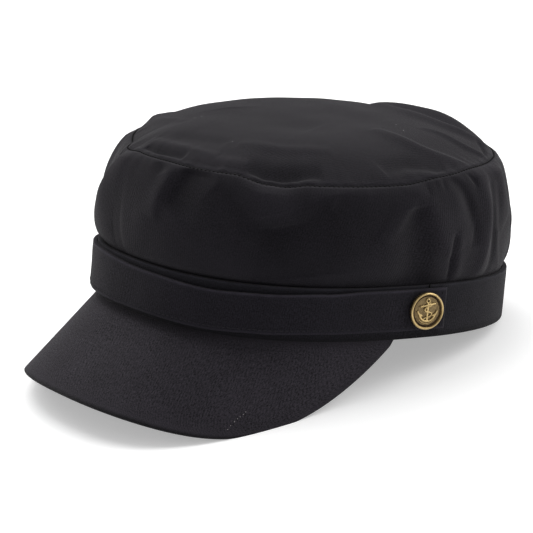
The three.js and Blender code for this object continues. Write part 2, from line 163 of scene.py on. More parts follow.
def rounded(profile, share):
    """A point part way round a closed profile of (grow, z) corners with rounded turns."""
    count = len(profile)
    place = share * count
    k = int(place) % count
    t = place - int(place)
    near_corners = [profile[(k + step - 1) % count] for step in range(4)]
    weights = (
        (1 - t) ** 3 / 6,
        (3 * t ** 3 - 6 * t ** 2 + 4) / 6,
        (-3 * t ** 3 + 3 * t ** 2 + 3 * t + 1) / 6,
        t ** 3 / 6,
    )
    return tuple(sum(w * corner[axis] for w, corner in zip(weights, near_corners)) for axis in (0, 1))


def linear(code):
    """An sRGB hex colour as linear red, green, blue and alpha."""
    parts = [int(code[k:k + 2], 16) / 255 for k in (1, 3, 5)]
    return tuple(p / 12.92 if p <= 0.04045 else ((p + 0.055) / 1.055) ** 2.4 for p in parts) + (1.0,)


def add_node(tree, kind, settings=None, links=None):
    """Adds a node, sets its properties and input values, and links its inputs to other sockets."""
    node = tree.nodes.new(kind)
    for key, value in (settings or {}).items():
        if isinstance(key, str) and hasattr(node, key):
            setattr(node, key, value)
        else:
            node.inputs[key].default_value = value
    for key, socket in (links or {}).items():
        tree.links.new(socket, node.inputs[key])
    return node


# Real ribs in such a twill are about 0.6 mm apart. They are drawn at 1.1 mm, as coarse as they must
# be to show, with specks of about 0.4 mm and threads of about 0.6 mm between them. A wave texture
# of scale 1 has a period of 0.314. The dye is cloudy over about 17 mm: 60 patches to a metre.
RIB_MM = 1.1
WAVE_PERIOD = 0.314
CLOUDS_PER_METRE = 60.0


def twill(name, dark, pale, rib_mm, rib_turn, rib_depth, fuzz):
    """Black cotton twill, piece-dyed and washed: faint ribs run across a grainy weave, the dye is a
    little uneven, and short fibres give a soft pale bloom at grazing angles. The mesh's
    wear_and_painted_light attribute makes the colour paler or darker: rubbed wear together with painted
    highlights and painted shade."""
    material = bpy.data.materials.new(name)
    material.use_nodes = True
    tree = material.node_tree
    shader = tree.nodes["Principled BSDF"]
    cloth = add_node(tree, "ShaderNodeUVMap", {"uv_map": "weave"})
    turned = add_node(
        tree, "ShaderNodeMapping", {"Rotation": (0, 0, math.radians(rib_turn))},
        {"Vector": cloth.outputs["UV"]},
    )
    ribs = add_node(
        tree, "ShaderNodeTexWave",
        {
            "wave_profile": "SIN", "Scale": WAVE_PERIOD / rib_mm,
            "Distortion": 2.6, "Detail": 3.0, "Detail Scale": 1.8,
        },
        {"Vector": turned.outputs["Vector"]},
    )
    along = add_node(
        tree, "ShaderNodeMapping", {"Scale": (1.0, 0.6, 1.0)}, {"Vector": turned.outputs["Vector"]}
    )
    specks = add_node(
        tree, "ShaderNodeTexNoise", {"Scale": 2.6 / rib_mm, "Detail": 1.0},
        {"Vector": cloth.outputs["UV"]},
    )
    threads = add_node(
        tree, "ShaderNodeTexNoise", {"Scale": 1.7 / rib_mm, "Detail": 3.0, "Roughness": 0.7},
        {"Vector": along.outputs["Vector"]},
    )
    place = add_node(tree, "ShaderNodeTexCoord")
    cloudy = add_node(
        tree, "ShaderNodeTexNoise", {"Scale": CLOUDS_PER_METRE, "Detail": 5.0, "Roughness": 0.65},
        {"Vector": place.outputs["Object"]},
    )
    painted_light_and_wear = add_node(tree, "ShaderNodeAttribute", {"attribute_name": "wear_and_painted_light"})
    dye = add_node(
        tree, "ShaderNodeMath", {"operation": "MULTIPLY_ADD", 1: 2.4, 2: -2.0},
        {0: threads.outputs["Fac"]},
    )
    speckled = add_node(
        tree, "ShaderNodeMath", {"operation": "MULTIPLY_ADD", 1: 2.2},
        {0: specks.outputs["Fac"], 2: dye.outputs["Value"]},
    )
    patchy = add_node(
        tree, "ShaderNodeMath", {"operation": "MULTIPLY_ADD", 1: 0.6},
        {0: cloudy.outputs["Fac"], 2: speckled.outputs["Value"]},
    )
    ribbed = add_node(
        tree, "ShaderNodeMath", {"operation": "MULTIPLY_ADD", 1: 0.2},
        {0: ribs.outputs["Fac"], 2: patchy.outputs["Value"]},
    )
    # Adds the painted light and wear: painted highlights, painted shade and rubbed wear from the mesh
    # attribute.
    whitened = add_node(
        tree, "ShaderNodeMath", {"operation": "ADD"},
        {0: ribbed.outputs["Value"], 1: painted_light_and_wear.outputs["Fac"]},
    )
    least = add_node(
        tree, "ShaderNodeMath", {"operation": "MAXIMUM", 1: 0.0}, {0: whitened.outputs["Value"]}
    )
    colour = add_node(
        tree, "ShaderNodeMix",
        {"data_type": "RGBA", "clamp_factor": False, 6: linear(dark), 7: linear(pale)},
        {0: least.outputs["Value"]},
    )
    low_ribs = add_node(
        tree, "ShaderNodeMath", {"operation": "MULTIPLY", 1: 0.35}, {0: ribs.outputs["Fac"]}
    )
    relief = add_node(
        tree, "ShaderNodeMath", {"operation": "MULTIPLY_ADD", 1: 1.6},
        {0: threads.outputs["Fac"], 2: low_ribs.outputs["Value"]},
    )
    fibres = add_node(
        tree, "ShaderNodeMath",
        {"operation": "MULTIPLY_ADD", 1: fuzz * 2.4, 2: -fuzz * 0.2, "use_clamp": True},
        {0: specks.outputs["Fac"]},
    )
    bump = add_node(
        tree, "ShaderNodeBump", {"Strength": 1.0, "Distance": rib_depth * MM},
        {"Height": relief.outputs["Value"]},
    )
    tree.links.new(colour.outputs[2], shader.inputs["Base Color"])
    tree.links.new(bump.outputs["Normal"], shader.inputs["Normal"])
    shader.inputs["Roughness"].default_value = 0.92
    shader.inputs["Specular IOR Level"].default_value = 0.14
    tree.links.new(fibres.outputs["Value"], shader.inputs["Sheen Weight"])
    shader.inputs["Sheen Roughness"].default_value = 0.45
    shader.inputs["Sheen Tint"].default_value = linear("#DAD6D8")
    return material


# The band's section, as how far each corner stands out from the plain oval and its height.
band_corners = [
    (0, 0.4), (0, 0.4), (0.15, 6), (0.1, 12.3), (0.15, 18.6), (0, 24.3), (0, 24.3),
    (-BAND_WALL, 24.3), (-BAND_WALL, 24.3), (-BAND_WALL, 12.3), (-BAND_WALL, 0.4), (-BAND_WALL, 0.4),
]


def full_turn(share):
    return 360 * share


def band_place(angle, part):
    grow, z = rounded(band_corners, part)
    wave = 0.12 * ripple(angle, 8, z * 0.08)
    rubbed = 0.6 + 0.4 * ripple(angle, 5, 7.7)
    # Painted colour: a pale line along the top fold, partly rubbed wear and partly a painted highlight,
    # and painted shade that darkens the foot of the band.
    edges = 1.3 * rubbed * near(z, 24.1, 0.6) - 0.6 * near(z, 0.8, 2.0)
    painted_light_and_wear = edges if grow > -BAND_WALL / 2 else 0.0
    return oval_point(angle, grow + wave, z + 0.35 * math.copysign(1, z - 12)), painted_light_and_wear


band_twill = twill("band_cotton_twill", "#070609", "#1B1A1F", RIB_MM, 8, 0.1, 0.07)
head_band = cloth_grid("band_folded_twill", 480, 60, 55, full_turn, band_place, band_twill)
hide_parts("head_band")
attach(head_band, "root")

# The side of the crown: one wall of twill between the band and the top panel, cut with some ease, so
# it swells over the band and falls in soft dents and folds. Round the seam the stitches pucker it.
SEAM_LENGTH, SEAM_WIDTH = 91.0, 85.0
SEAM_FORWARD = 3.4
SEAM_HEIGHT = 76.4
NOSE_DOWN, SIDE_DOWN = math.radians(3.6), math.radians(2.3)
HEM_INSIDE = 8.0
HEM_SHARE = 0.08
BULGE, BULGE_HEIGHT = 6.0, 8.0
SHOULDER, SHOULDER_DROP = 9.5, 4.5
WALL_HEIGHT = 52.0
SIDE_RUN = 32
GROOVE = 0.5
CROWN_WALL = 1.5
SIDE_ROWS = 80
# The last row of the side is its seam allowance, turned in under the top panel.
TUCKED_IN, TUCKED_DOWN = 1.8, 0.9
# The seam line wanders from its plain oval. Each row: angle, how far it rises, how far it spreads.
seam_wander = [
    (-100, 0, 0), (-66, 0, -1.0), (-46, 0, -2.5), (-30, -0.5, -4.0), (-17, 0.4, 0.3), (-6, 2.3, 0),
    (10, 2.8, 0), (22, 2.5, 0), (33, 2.7, 0), (44, -0.4, 0), (49, -0.8, 0), (56, 0.5, 0), (84, 0.3, 0),
    (99, 2.3, 0), (112, 3.2, 0), (130, 2.3, 0), (145, 1.2, 0), (180, 0, 0),
]
# Folds of the side. Each row: how far it lifts the cloth, its half widths to the left and right of
# its run in mm, and its run as (angle, height), where height is 0 at the band and 1 at the seam.
side_folds = [
    (3.0, 12, 2.0, [
        (-15, 1.3), (-14.5, 1.05), (-13, 0.87), (-15.5, 0.7), (-19, 0.54), (-25, 0.4), (-33, 0.26),
    ]),
    (-6.0, 3.4, 5, [(-24, 1.25), (-22, 1.0), (-20.5, 0.86), (-22.5, 0.7), (-26, 0.55), (-33, 0.4)]),
    (2.6, 5, 7, [(-52, 1.1), (-47, 0.86), (-44.5, 0.7), (-43, 0.54), (-42, 0.38)]),
    (0.8, 12, 12, [(-52, 0.18), (-30, 0.16), (-8, 0.2)]),
    (1.6, 3, 5, [(14, 1.15), (13, 0.79), (10.8, 0.64), (9.5, 0.45)]),
    (-3.0, 11, 4, [(21, 1.12), (19.5, 0.88), (18, 0.72), (15, 0.55)]),
    (-0.9, 3, 3, [(7, 0.95), (10, 0.82)]),
    (1.4, 15, 15, [(-4, 0.3), (20, 0.36), (44, 0.3)]),
    (2.6, 10, 12, [(42, 1.15), (45, 0.9), (48, 0.72), (49, 0.56)]),
    (-1.7, 3.5, 7, [(29, 0.8), (36, 0.64), (43, 0.56), (49, 0.52), (56, 0.58), (63, 0.72)]),
    (-2.0, 20, 20, [(54, 0.75), (58, 0.45), (60, 0.15)]),
    (-0.9, 8, 8, [(63, 0.74), (70, 0.64), (78, 0.52)]),
    (0.8, 6, 8, [(55, 0.86), (70, 0.88), (83, 0.86)]),
    (1.2, 3.0, 5.5, [(88.6, 0.98), (86, 0.76), (83.5, 0.62), (79, 0.45)]),
    (1.2, 5.5, 3.0, [(88.0, 0.98), (90.5, 0.7), (93.4, 0.52), (96, 0.42), (99, 0.3)]),
    (-3.2, 5.0, 7, [(87.6, 0.72), (88.6, 0.5), (90, 0.26), (91.5, -0.3)]),
    (0.9, 7, 7, [(90, 0.68), (99, 0.56), (107, 0.45)]),
    (-1.3, 1.0, 1.2, [(99, 0.47), (98.8, 0.36), (99, 0.22), (100.5, -0.15)]),
    (0.7, 3, 1.4, [(101, 0.5), (101, 0.25), (102.5, -0.1)]),
    (-0.5, 1.2, 1.2, [(92.5, 1.15), (91.4, 0.8)]),
    (-0.4, 1.0, 1.2, [(95.6, 1.12), (94.8, 0.84)]),
    (-0.5, 1.2, 1.2, [(98.6, 1.15), (97.6, 0.8)]),
    (-1.8, 2.6, 4.5, [
        (99.5, 1.03), (102.5, 0.87), (104.8, 0.785), (106.2, 0.67), (106.8, 0.55), (107.5, 0.36),
    ]),
    (-0.9, 1.2, 1.2, [(108.6, 0.95), (111, 0.78)]),
    (1.9, 5.0, 5.0, [(113, 1.15), (114, 0.8), (114.5, 0.6), (112.5, 0.42), (112, 0.26), (110.5, -0.2)]),
    (-0.9, 3, 3, [(118.5, 0.8), (118.3, 0.5), (118.5, 0.3), (116.5, 0.0)]),
    (0.5, 3, 3, [(121, 0.6), (120.5, 0.34), (125.5, 0.08), (128, -0.15)]),
    (-0.6, 3, 3, [(123.4, 0.8), (123, 0.6), (121.5, 0.42)]),
    (2.2, 3, 7, [(129, 1.2), (127.5, 0.92), (126, 0.8), (127.8, 0.68), (131, 0.48)]),
    (-2.6, 10, 4, [(137, 1.15), (136, 0.8), (138, 0.6), (142, 0.38)]),
    (1.5, 5, 9, [(112, 0.98), (124, 0.92), (134, 0.92), (146, 0.98)]),
    (-2.0, 12, 12, [(114, 0.44), (126, 0.34), (138, 0.22), (146, 0.14)]),
    (-1.8, 20, 20, [(166, 0.95), (172, 0.5), (178, 0.15)]),
    (1.3, 6, 12, [(201, 1.1), (205, 0.6), (210, 0.2)]),
    (-1.2, 4, 9, [(214, 1.1), (219, 0.7), (226, 0.4)]),
    (1.2, 8, 5, [(236, 1.1), (233, 0.7), (228, 0.35)]),
    (-2.0, 14, 14, [(255, 0.95), (258, 0.6), (262, 0.25)]),
    (1.1, 5, 10, [(276, 1.1), (274, 0.75), (268, 0.45)]),
]


def smooth_run(points):
    """Cuts the corners of a run of points twice, so it bends softly."""
    for cut in range(2):
        softer = [points[0]]
        for (ax, ay), (bx, by) in zip(points, points[1:]):
            softer.append((0.75 * ax + 0.25 * bx, 0.75 * ay + 0.25 * by))
            softer.append((0.25 * ax + 0.75 * bx, 0.25 * ay + 0.75 * by))
        points = softer + [points[-1]]
    return points


def lay_folds(rows, across, along):
    """Turns the rows of a fold table into runs in millimetres, with the box that each one reaches."""
    folds = []
    for lift, left, right, places in rows:
        run = smooth_run([(x * across, y * along) for x, y in places])
        reach = 2.6 * max(left, right)
        xs, ys = [x for x, y in run], [y for x, y in run]
        box = (min(xs) - reach, max(xs) + reach, min(ys) - reach, max(ys) + reach)
        folds.append((lift, left, right, run, box))
    return folds


def fold_lift(x, y, folds):
    """How far the folds lift the cloth at a place, in millimetres. A fold dies out towards its ends."""
    total = 0.0
    for lift, left, right, run, box in folds:
        if not (box[0] < x < box[1] and box[2] < y < box[3]):
            continue
        nearest = (1e9, 0.0, 1.0)
        for k in range(len(run) - 1):
            (ax, ay), (bx, by) = run[k], run[k + 1]
            dx, dy = bx - ax, by - ay
            t = min(1.0, max(0.0, ((x - ax) * dx + (y - ay) * dy) / (dx * dx + dy * dy)))
            gap = (x - ax - t * dx) ** 2 + (y - ay - t * dy) ** 2
            if gap < nearest[0]:
                nearest = (gap, (k + t) / (len(run) - 1), dx * (y - ay) - dy * (x - ax))
        gap, share, side = nearest
        width = left if side > 0 else right
        total += lift * math.sin(math.pi * share) ** 0.7 * math.exp(-gap / width ** 2)
    return total


def half_turn(angle):
    return (angle + 180) % 360 - 180


def read_table(rows, column, angle):
    """A table's value at an angle, with an easy curve from one row to the next."""
    if angle <= rows[0][0]:
        return rows[0][column]
    for before, after in zip(rows, rows[1:]):
        if angle < after[0]:
            t = (angle - before[0]) / (after[0] - before[0])
            return before[column] + (after[column] - before[column]) * t * t * (3 - 2 * t)
    return rows[-1][column]


def seam_oval(angle, grow):
    x = (SEAM_WIDTH + grow) * math.sin(math.radians(angle))
    y = -(SEAM_LENGTH + grow) * math.cos(math.radians(angle)) - SEAM_FORWARD
    return Vector((x, y, SEAM_HEIGHT + math.sin(NOSE_DOWN) * y - math.sin(SIDE_DOWN) * x))


def seam_point(angle, grow):
    turn = half_turn(angle)
    spread = read_table(seam_wander, 2, turn)
    return seam_oval(angle, grow + spread) + UP * read_table(seam_wander, 1, turn)


def outward(angle):
    point = seam_oval(angle, 0)
    return Vector((point.x / SEAM_WIDTH ** 2, point.y / SEAM_LENGTH ** 2, 0)).normalized()


def crown_turn(share):
    """The crown's columns stand closest on its creased side: three quarters of them on 210 degrees."""
    return -60 + 280 * share if share < 0.75 else 150 + 600 * (share - 0.75)


def pucker(angle, distance, reach):
    """How far the stitches draw the cloth in and let it swell between them, near a seam."""
    return 0.7 * ripple(angle, 4.5, distance / 16) * math.exp(-distance / reach)


side_runs = lay_folds(side_folds, MM_PER_DEGREE, WALL_HEIGHT)


def side_place(angle, part):
    if part < HEM_SHARE:
        hem = 1 - part / HEM_SHARE
        return oval_point(angle, -BAND_WALL - GAP, BAND_HEIGHT - HEM_INSIDE * hem), 0.0
    last = 1 - 1 / SIDE_ROWS
    t = min(1.0, (part - HEM_SHARE) / (last - HEM_SHARE))
    tucked = max(0.0, (part - last) * SIDE_ROWS)
    corners = (
        oval_point(angle, -BAND_WALL - GAP, BAND_HEIGHT + 0.1),
        oval_point(angle, BULGE, BAND_HEIGHT + BULGE_HEIGHT),
        seam_point(angle, SHOULDER) - UP * SHOULDER_DROP,
        seam_point(angle, 0.25),
    )
    weights = ((1 - t) ** 3, 3 * t * (1 - t) ** 2, 3 * t * t * (1 - t), t ** 3)
    point = sum((w * corner for w, corner in zip(weights, corners)), Vector())
    distance = (1 - t) * SIDE_RUN
    soft = 0.5 * noise.noise(Vector((point.x / 15, point.y / 15, point.z / 19)))
    folds = fold_lift(angle * MM_PER_DEGREE, t * WALL_HEIGHT, side_runs)
    swell = (folds + soft) * min(1, distance / 4) * min(1, t * 9)
    swell += pucker(angle, distance, 5) * min(1, distance / 1.2)
    groove = (outward(angle) * 0.5 + UP * 0.85) * GROOVE * near(distance, 0, 0.8)
    # Painted light: a thin pale painted highlight just below the seam, and the folds painted paler on
    # their ridges and darker in their hollows, as light and shade.
    painted_light_and_wear = 0.25 * near(t, 0.965, 0.02) + 0.12 * max(-1.5, min(2.5, folds))
    allowance = (outward(angle) * TUCKED_IN + UP * TUCKED_DOWN) * tucked
    return point + outward(angle) * swell - groove - allowance, painted_light_and_wear


def give_wall(piece, thickness):
    """Gives a sheet of cloth its thickness, inwards."""
    solid = piece.modifiers.new("wall", "SOLIDIFY")
    solid.thickness = thickness * MM
    solid.offset = -1


crown_twill = twill("crown_cotton_twill", "#060509", "#1C1A1F", RIB_MM, 8, 0.12, 0.085)
crown_side = cloth_grid("crown_side_twill", 600, SIDE_ROWS, 64, crown_turn, side_place, crown_twill)
give_wall(crown_side, CROWN_WALL)
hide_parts("crown_side")
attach(crown_side, "root")

# The top panel: an oval of twill sewn on all round, puffed up over its seam, with pull folds that
# run to the back corner on the wearer's left, a pit behind the front and a notch in the seam.
TOP_RISE = 15.2
TOP_PUFF = 4.0
WANDER_SETTLES = 8
TOP_RUN = 88
# Folds of the top, as the side's, with their runs as (x, y) on the upright cap in mm.
top_folds = [
    (-2.0, 2.2, 2.0, [(-12, -89.2), (-5, -89.6), (2, -89.6), (9, -89.0), (18, -87.6)]),
    (1.0, 3.5, 2.5, [(-18, -84), (-4, -84.5), (6.5, -83.7), (17, -82), (30, -77)]),
    (-2.6, 5, 3, [(46, -73), (54, -67.5), (59.5, -61), (63.5, -55), (68, -46)]),
    (0.9, 4, 4, [(16, -86), (34, -79), (48, -71)]),
    (-0.7, 5, 5, [(-16, -80), (-4, -78), (10, -73), (22, -68)]),
    (0.7, 4, 4, [(26, -64), (38.5, -54.8), (48, -45), (56, -32)]),
    (2.4, 2.4, 5, [(-20, 50), (9.4, 50.9), (29.6, 54.5), (40, 60), (50, 67.5), (60, 75)]),
    (4.5, 8, 7, [(-26, 54), (-12, 61), (4, 65.5), (18, 68), (29, 69), (39, 70)]),
    (1.3, 2, 3, [(36, 34), (46.5, 40.3), (56.2, 43.6), (62.7, 51.0), (70, 58)]),
    (1.5, 3, 5, [(36, 6), (49, 8.5), (58, 11), (64, 13.7), (73, 25), (80, 36)]),
    (-1.6, 6, 4, [(76, -18), (74, -4), (76.5, 5), (80, 16)]),
    (-0.9, 1.3, 1.3, [(44, 63), (56, 58), (70, 51)]),
    (0.9, 4, 2.5, [(-24, -61), (-48, -59), (-62, -54), (-72, -44)]),
    (2.4, 9, 8, [(-60, -80), (-67, -64), (-69, -52), (-66, -42)]),
    (-1.0, 14, 14, [(-30, -30), (0, -34), (26, -22)]),
]
top_runs = lay_folds(top_folds, 1, 1)


def top_place(angle, part):
    part = 1 - (1 - part) ** 1.5
    turn = half_turn(angle)
    centre = Vector((0, -SEAM_FORWARD, SEAM_HEIGHT))
    drawn_in = read_table(seam_wander, 2, turn) * part ** 3
    point = centre.lerp(seam_oval(angle, -0.25), part) + outward(angle) * drawn_in
    distance = (1 - part) * TOP_RUN
    soft = 0.6 * noise.noise(Vector((point.x / 19, point.y / 19, 5.5)))
    folds = fold_lift(point.x, point.y, top_runs)
    swell = (folds + soft) * min(1, distance / 4) + pucker(angle, distance, 6) * min(1, distance / 1.2)
    wander = read_table(seam_wander, 1, turn) * part ** WANDER_SETTLES
    point.z += TOP_RISE * (1 - part ** TOP_PUFF) + wander + swell - GROOVE * near(distance, 0, 0.8)
    # The second value returned is painted light: a thin pale painted highlight just inside the seam, and
    # the folds painted paler on their ridges and darker in their hollows.
    return point, 0.25 * near(distance, 1.8, 1.0) + 0.12 * max(-1.5, min(2.0, folds))


crown_top = cloth_grid("crown_top_twill", 560, 84, 88, crown_turn, top_place, crown_twill)
weave = crown_top.data.uv_layers["weave"]
for loop in crown_top.data.loops:
    spot = crown_top.data.vertices[loop.vertex_index].co / MM
    weave.data[loop.index].uv = (spot.x, spot.y)
give_wall(crown_top, CROWN_WALL)
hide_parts("crown_top")
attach(crown_top, "root")

# The crown's seam: small near-black stitches that sink into the groove between the top panel and the
# side, a little over 2 mm apart. Their dark also stands for the shade in the needle holes, as painted
# shade.
SEAM_PITCH = 2.15


def plain_material(name, code, roughness):
    material = bpy.data.materials.new(name)
    material.use_nodes = True
    shader = material.node_tree.nodes["Principled BSDF"]
    shader.inputs["Base Color"].default_value = linear(code)
    shader.inputs["Roughness"].default_value = roughness
    shader.inputs["Specular IOR Level"].default_value = 0.2
    return material


def stitch_row(name, places, size, thread):
    """A row of thread beads. Each place is a point of the upright cap, the row's way and the way out."""
    mesh = bmesh.new()
    for point, way, out in places:
        way, out = way.normalized(), out.normalized()
        basis = Matrix((way, out.cross(way).normalized(), out)).transposed().to_4x4()
        shape = Matrix.Translation(point) @ basis @ Matrix.Diagonal((*size, 1)) @ Matrix.Scale(0.5, 4)
        bmesh.ops.create_uvsphere(mesh, u_segments=8, v_segments=6, radius=1, matrix=shape)
    for vert in mesh.verts:
        vert.co = settle(vert.co)
    return finish_piece(name, mesh, thread)


# Near-black thread; on the seam its dark also serves as painted shade for the needle holes.
black_thread_and_hole_shade = plain_material("black_thread_and_painted_shade", "#060607", 0.8)
seam_places = []
seam_count = round(2 * math.pi * TOP_RUN / SEAM_PITCH)
for k in range(seam_count):
    angle = 360 * k / seam_count
    way = seam_point(angle + 0.5, 0) - seam_point(angle - 0.5, 0)
    seam_places.append((seam_point(angle, 0) - UP * 0.25, way, outward(angle) * 0.6 + UP * 0.8))
seam_stitches = stitch_row("crown_seam_stitches", seam_places, (1.15, 0.9, 0.6), black_thread_and_hole_shade)
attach(seam_stitches, "root")

# The front strap: a folded strip of the same twill, bent round the front of the band and held only by
# the buttons. Thin pale lines are painted along its folded edges, partly rubbed wear and partly a
# painted highlight, and a row of stitches runs along its lower edge.
STRAP_THICKNESS = 1.9
STRAP_REACH = 97.6
# Each row: angle, lower edge and upper edge above the band's lower edge.
strap_edges = [
    (-99, 4.6, 22.6), (-50, 3.2, 22.8), (-16, 2.2, 23.3), (6, 2.9, 21.5), (30, 2.4, 20.2),
    (47, 3.3, 20.9), (66, 4.4, 22.1), (80, 4.8, 23.4), (99, 4.6, 23.4),
]
# The strap's section, each corner as a share of its thickness and of its height.
strap_corners = [
    (1, 0), (1, 0), (1.05, 0.2), (0.98, 0.5), (1.05, 0.8), (1, 1), (1, 1),
    (0, 1), (0, 1), (0, 0.5), (0, 0), (0, 0),
]


def strap_turn(share):
    return STRAP_REACH * (2 * share - 1)


def strap_face(angle, share, out):
    """A point of the strap at an angle, part way up its height and part way out of its thickness."""
    lower, upper = read_table(strap_edges, 1, angle), read_table(strap_edges, 2, angle)
    grow = GAP + out * (STRAP_THICKNESS + 0.15 * ripple(angle, 8, share * 2))
    return oval_point(angle, grow, lower - 0.25 + share * (upper - lower + 0.5))


def strap_place(angle, part):
    out, share = rounded(strap_corners, part)
    rubbed = 0.75 + 0.35 * ripple(angle, 4, 2.2)
    # Pale lines painted along the top and bottom folds: partly rubbed wear, partly a painted highlight.
    edges = 2.0 * near(share, 0.98, 0.03) + 0.8 * near(share, 0.02, 0.03)
    painted_light_and_wear = rubbed * edges if out > 0.5 else 0.0
    return strap_face(angle, share, out), painted_light_and_wear


strap_twill = twill("strap_cotton_twill", "#060509", "#1C1A20", RIB_MM, 8, 0.1, 0.07)
front_strap = cloth_grid("front_strap_twill", 480, 48, 42, strap_turn, strap_place, strap_twill)
ends = bmesh.new()
ends.from_mesh(front_strap.data)
bmesh.ops.holes_fill(ends, edges=[edge for edge in ends.edges if edge.is_boundary], sides=0)
ends.to_mesh(front_strap.data)
ends.free()
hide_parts("front_strap")
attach(front_strap, "root")

# The strap's stitching: a row just above its lower edge and a short row across each end, and a bar of
# thread that tacks the band over each button.
STRAP_PITCH = 2.5
TACK_ANGLE = 93.4
grey_thread = plain_material("washed_black_thread", "#1F1E22", 0.85)
strap_places = []
strap_count = round((2 * STRAP_REACH - 6) * MM_PER_DEGREE / STRAP_PITCH)
for k in range(strap_count + 1):
    angle = (STRAP_REACH - 3) * (2 * k / strap_count - 1)
    way = strap_face(angle + 0.3, 0.1, 1) - strap_face(angle - 0.3, 0.1, 1)
    strap_places.append((strap_face(angle, 0.1, 1.03), way, way.cross(UP)))
for side in (-1, 1):
    angle = side * (STRAP_REACH - 1.2)
    way = strap_face(angle + 0.3, 0.1, 1) - strap_face(angle - 0.3, 0.1, 1)
    for k in range(7):
        strap_places.append((strap_face(angle, 0.1 + 0.13 * k, 1.03), UP, way.cross(UP)))
strap_stitches = stitch_row("strap_stitches", strap_places, (1.6, 0.5, 0.5), grey_thread)
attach(strap_stitches, "root")

tack_places = []
for side in (-1, 1):
    angle = side * TACK_ANGLE
    way = oval_point(angle + 0.3, 0, 0) - oval_point(angle - 0.3, 0, 0)
    tack_places.append((oval_point(angle, 0.2, 24.1), UP, way.cross(UP)))
tacks = stitch_row("band_tacks", tack_places, (3.4, 1.1, 0.9), black_thread_and_hole_shade)
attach(tacks, "root")

# The peak: twill glued over a stiff board and bent to an arch, with its own straight run from the band
# to its edge. Faint ribs run down it, and its edge is turned under in a narrow rim that is painted dark
# as shade, with a thin pale painted highlight just inside it.
PEAK_REACH = 88.2
PEAK_FRONT, PEAK_SIDE = 52.6, 68.9
FRONT_SLOPE, SIDE_SLOPE = 42.4, 57.0
CORNER_POWER, CORNER_ROUND = 6, 0.81
PEAK_THICKNESS = 2.4
PEAK_SPLAY = 3
PEAK_INSET = -BAND_WALL - GAP
# The last columns stop just short of the corners, where the peak has no length left.
CORNER_STOP = 0.995
# The peak's section, each corner as a share of its run down and of its thickness.
peak_corners = [
    (0, 1), (0, 1), (0.03, 1), (0.3, 1), (0.6, 1), (0.9, 1), (0.98, 1), (1, 1), (1.01, 0.5), (1, 0),
    (0.98, 0), (0.9, 0), (0.6, 0), (0.3, 0), (0.03, 0), (0, 0), (0, 0),
]


def peak_turn(share):
    """The peak's columns stand closer together towards its two corners."""
    turn = 2 * share - 1
    return PEAK_REACH * CORNER_STOP * (1.4 * turn - 0.4 * turn ** 3)


def peak_point(angle, down, level):
    """A point of the peak at an angle, part way down its run and part way up its thickness."""
    share = abs(angle) / PEAK_REACH
    slope = math.radians(FRONT_SLOPE + (SIDE_SLOPE - FRONT_SLOPE) * share ** 2)
    plain = PEAK_FRONT + (PEAK_SIDE - PEAK_FRONT) * share ** 2
    length = plain * (1 - share ** CORNER_POWER) ** CORNER_ROUND
    splay = math.radians(PEAK_SPLAY * angle / PEAK_REACH)
    ruling = Vector((math.sin(splay), -math.cos(slope), -math.sin(slope))).normalized()
    along = oval_point(angle + 0.5, PEAK_INSET, 0) - oval_point(angle - 0.5, PEAK_INSET, 0)
    face = ruling.cross(along).normalized()
    root = oval_point(angle, PEAK_INSET, -GAP)
    return root + ruling * (down * length) + face * ((level - 1) * PEAK_THICKNESS)


def peak_place(angle, part):
    down, level = rounded(peak_corners, part)
    # Painted light: a thin pale painted highlight just inside the edge, and painted shade darkening the
    # turned-under rim and the underside next to it.
    painted_light_and_wear = 0.2 * near(down, 0.965, 0.02) - 2.5 * near(level, 0.3, 0.55) * near(down, 1.0, 0.03)
    return peak_point(angle, down, level), painted_light_and_wear


# The same twill as the crown's, with its colours set paler as painted light for the light that falls on
# the peak.
peak_twill = twill("peak_cotton_twill", "#0A090C", "#302D33", RIB_MM, 38, 0.14, 0.1)
peak = cloth_grid("peak_twill", 360, 120, 118, peak_turn, peak_place, peak_twill)
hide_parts("peak")
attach(peak, "root")

# The two buttons: stamped brass shells with a rolled rim round a sunk, slightly domed field, and on
# it a plain ship's anchor with a rope in relief. The brass is old: brown in the hollows, bright where
# sleeves and fingers rub it.
BUTTON_ANGLE, BUTTON_HEIGHT, BUTTON_TURN = 91.5, 14.1, 9
BUTTON_STEM = 1.2
FIELD_RISE = 2.0
FIELD_ROUND = 80.0
STAINS_PER_METRE = 900.0
button_profile = [
    (0, -BUTTON_STEM), (1.8, -BUTTON_STEM), (1.8, 0), (7.8, 0), (8.4, 0.2), (8.75, 0.8), (8.8, 1.5),
    (8.65, 2.2), (8.35, 2.55), (8.05, 2.6), (7.8, 2.45), (7.62, 2.1), (7.5, 1.6), (7.35, 1.25),
    (7.1, 1.2), (6.95, 1.4), (6.8, 1.6), (6.6, 1.6), (6.45, 1.5), (5.2, 1.68), (3.6, 1.85), (1.8, 1.95),
    (0, FIELD_RISE),
]


def arc(x, y, radius, start, end):
    turns = [math.radians(start + (end - start) * k / 14) for k in range(15)]
    return [(x + radius * math.cos(turn), y + radius * math.sin(turn)) for turn in turns]


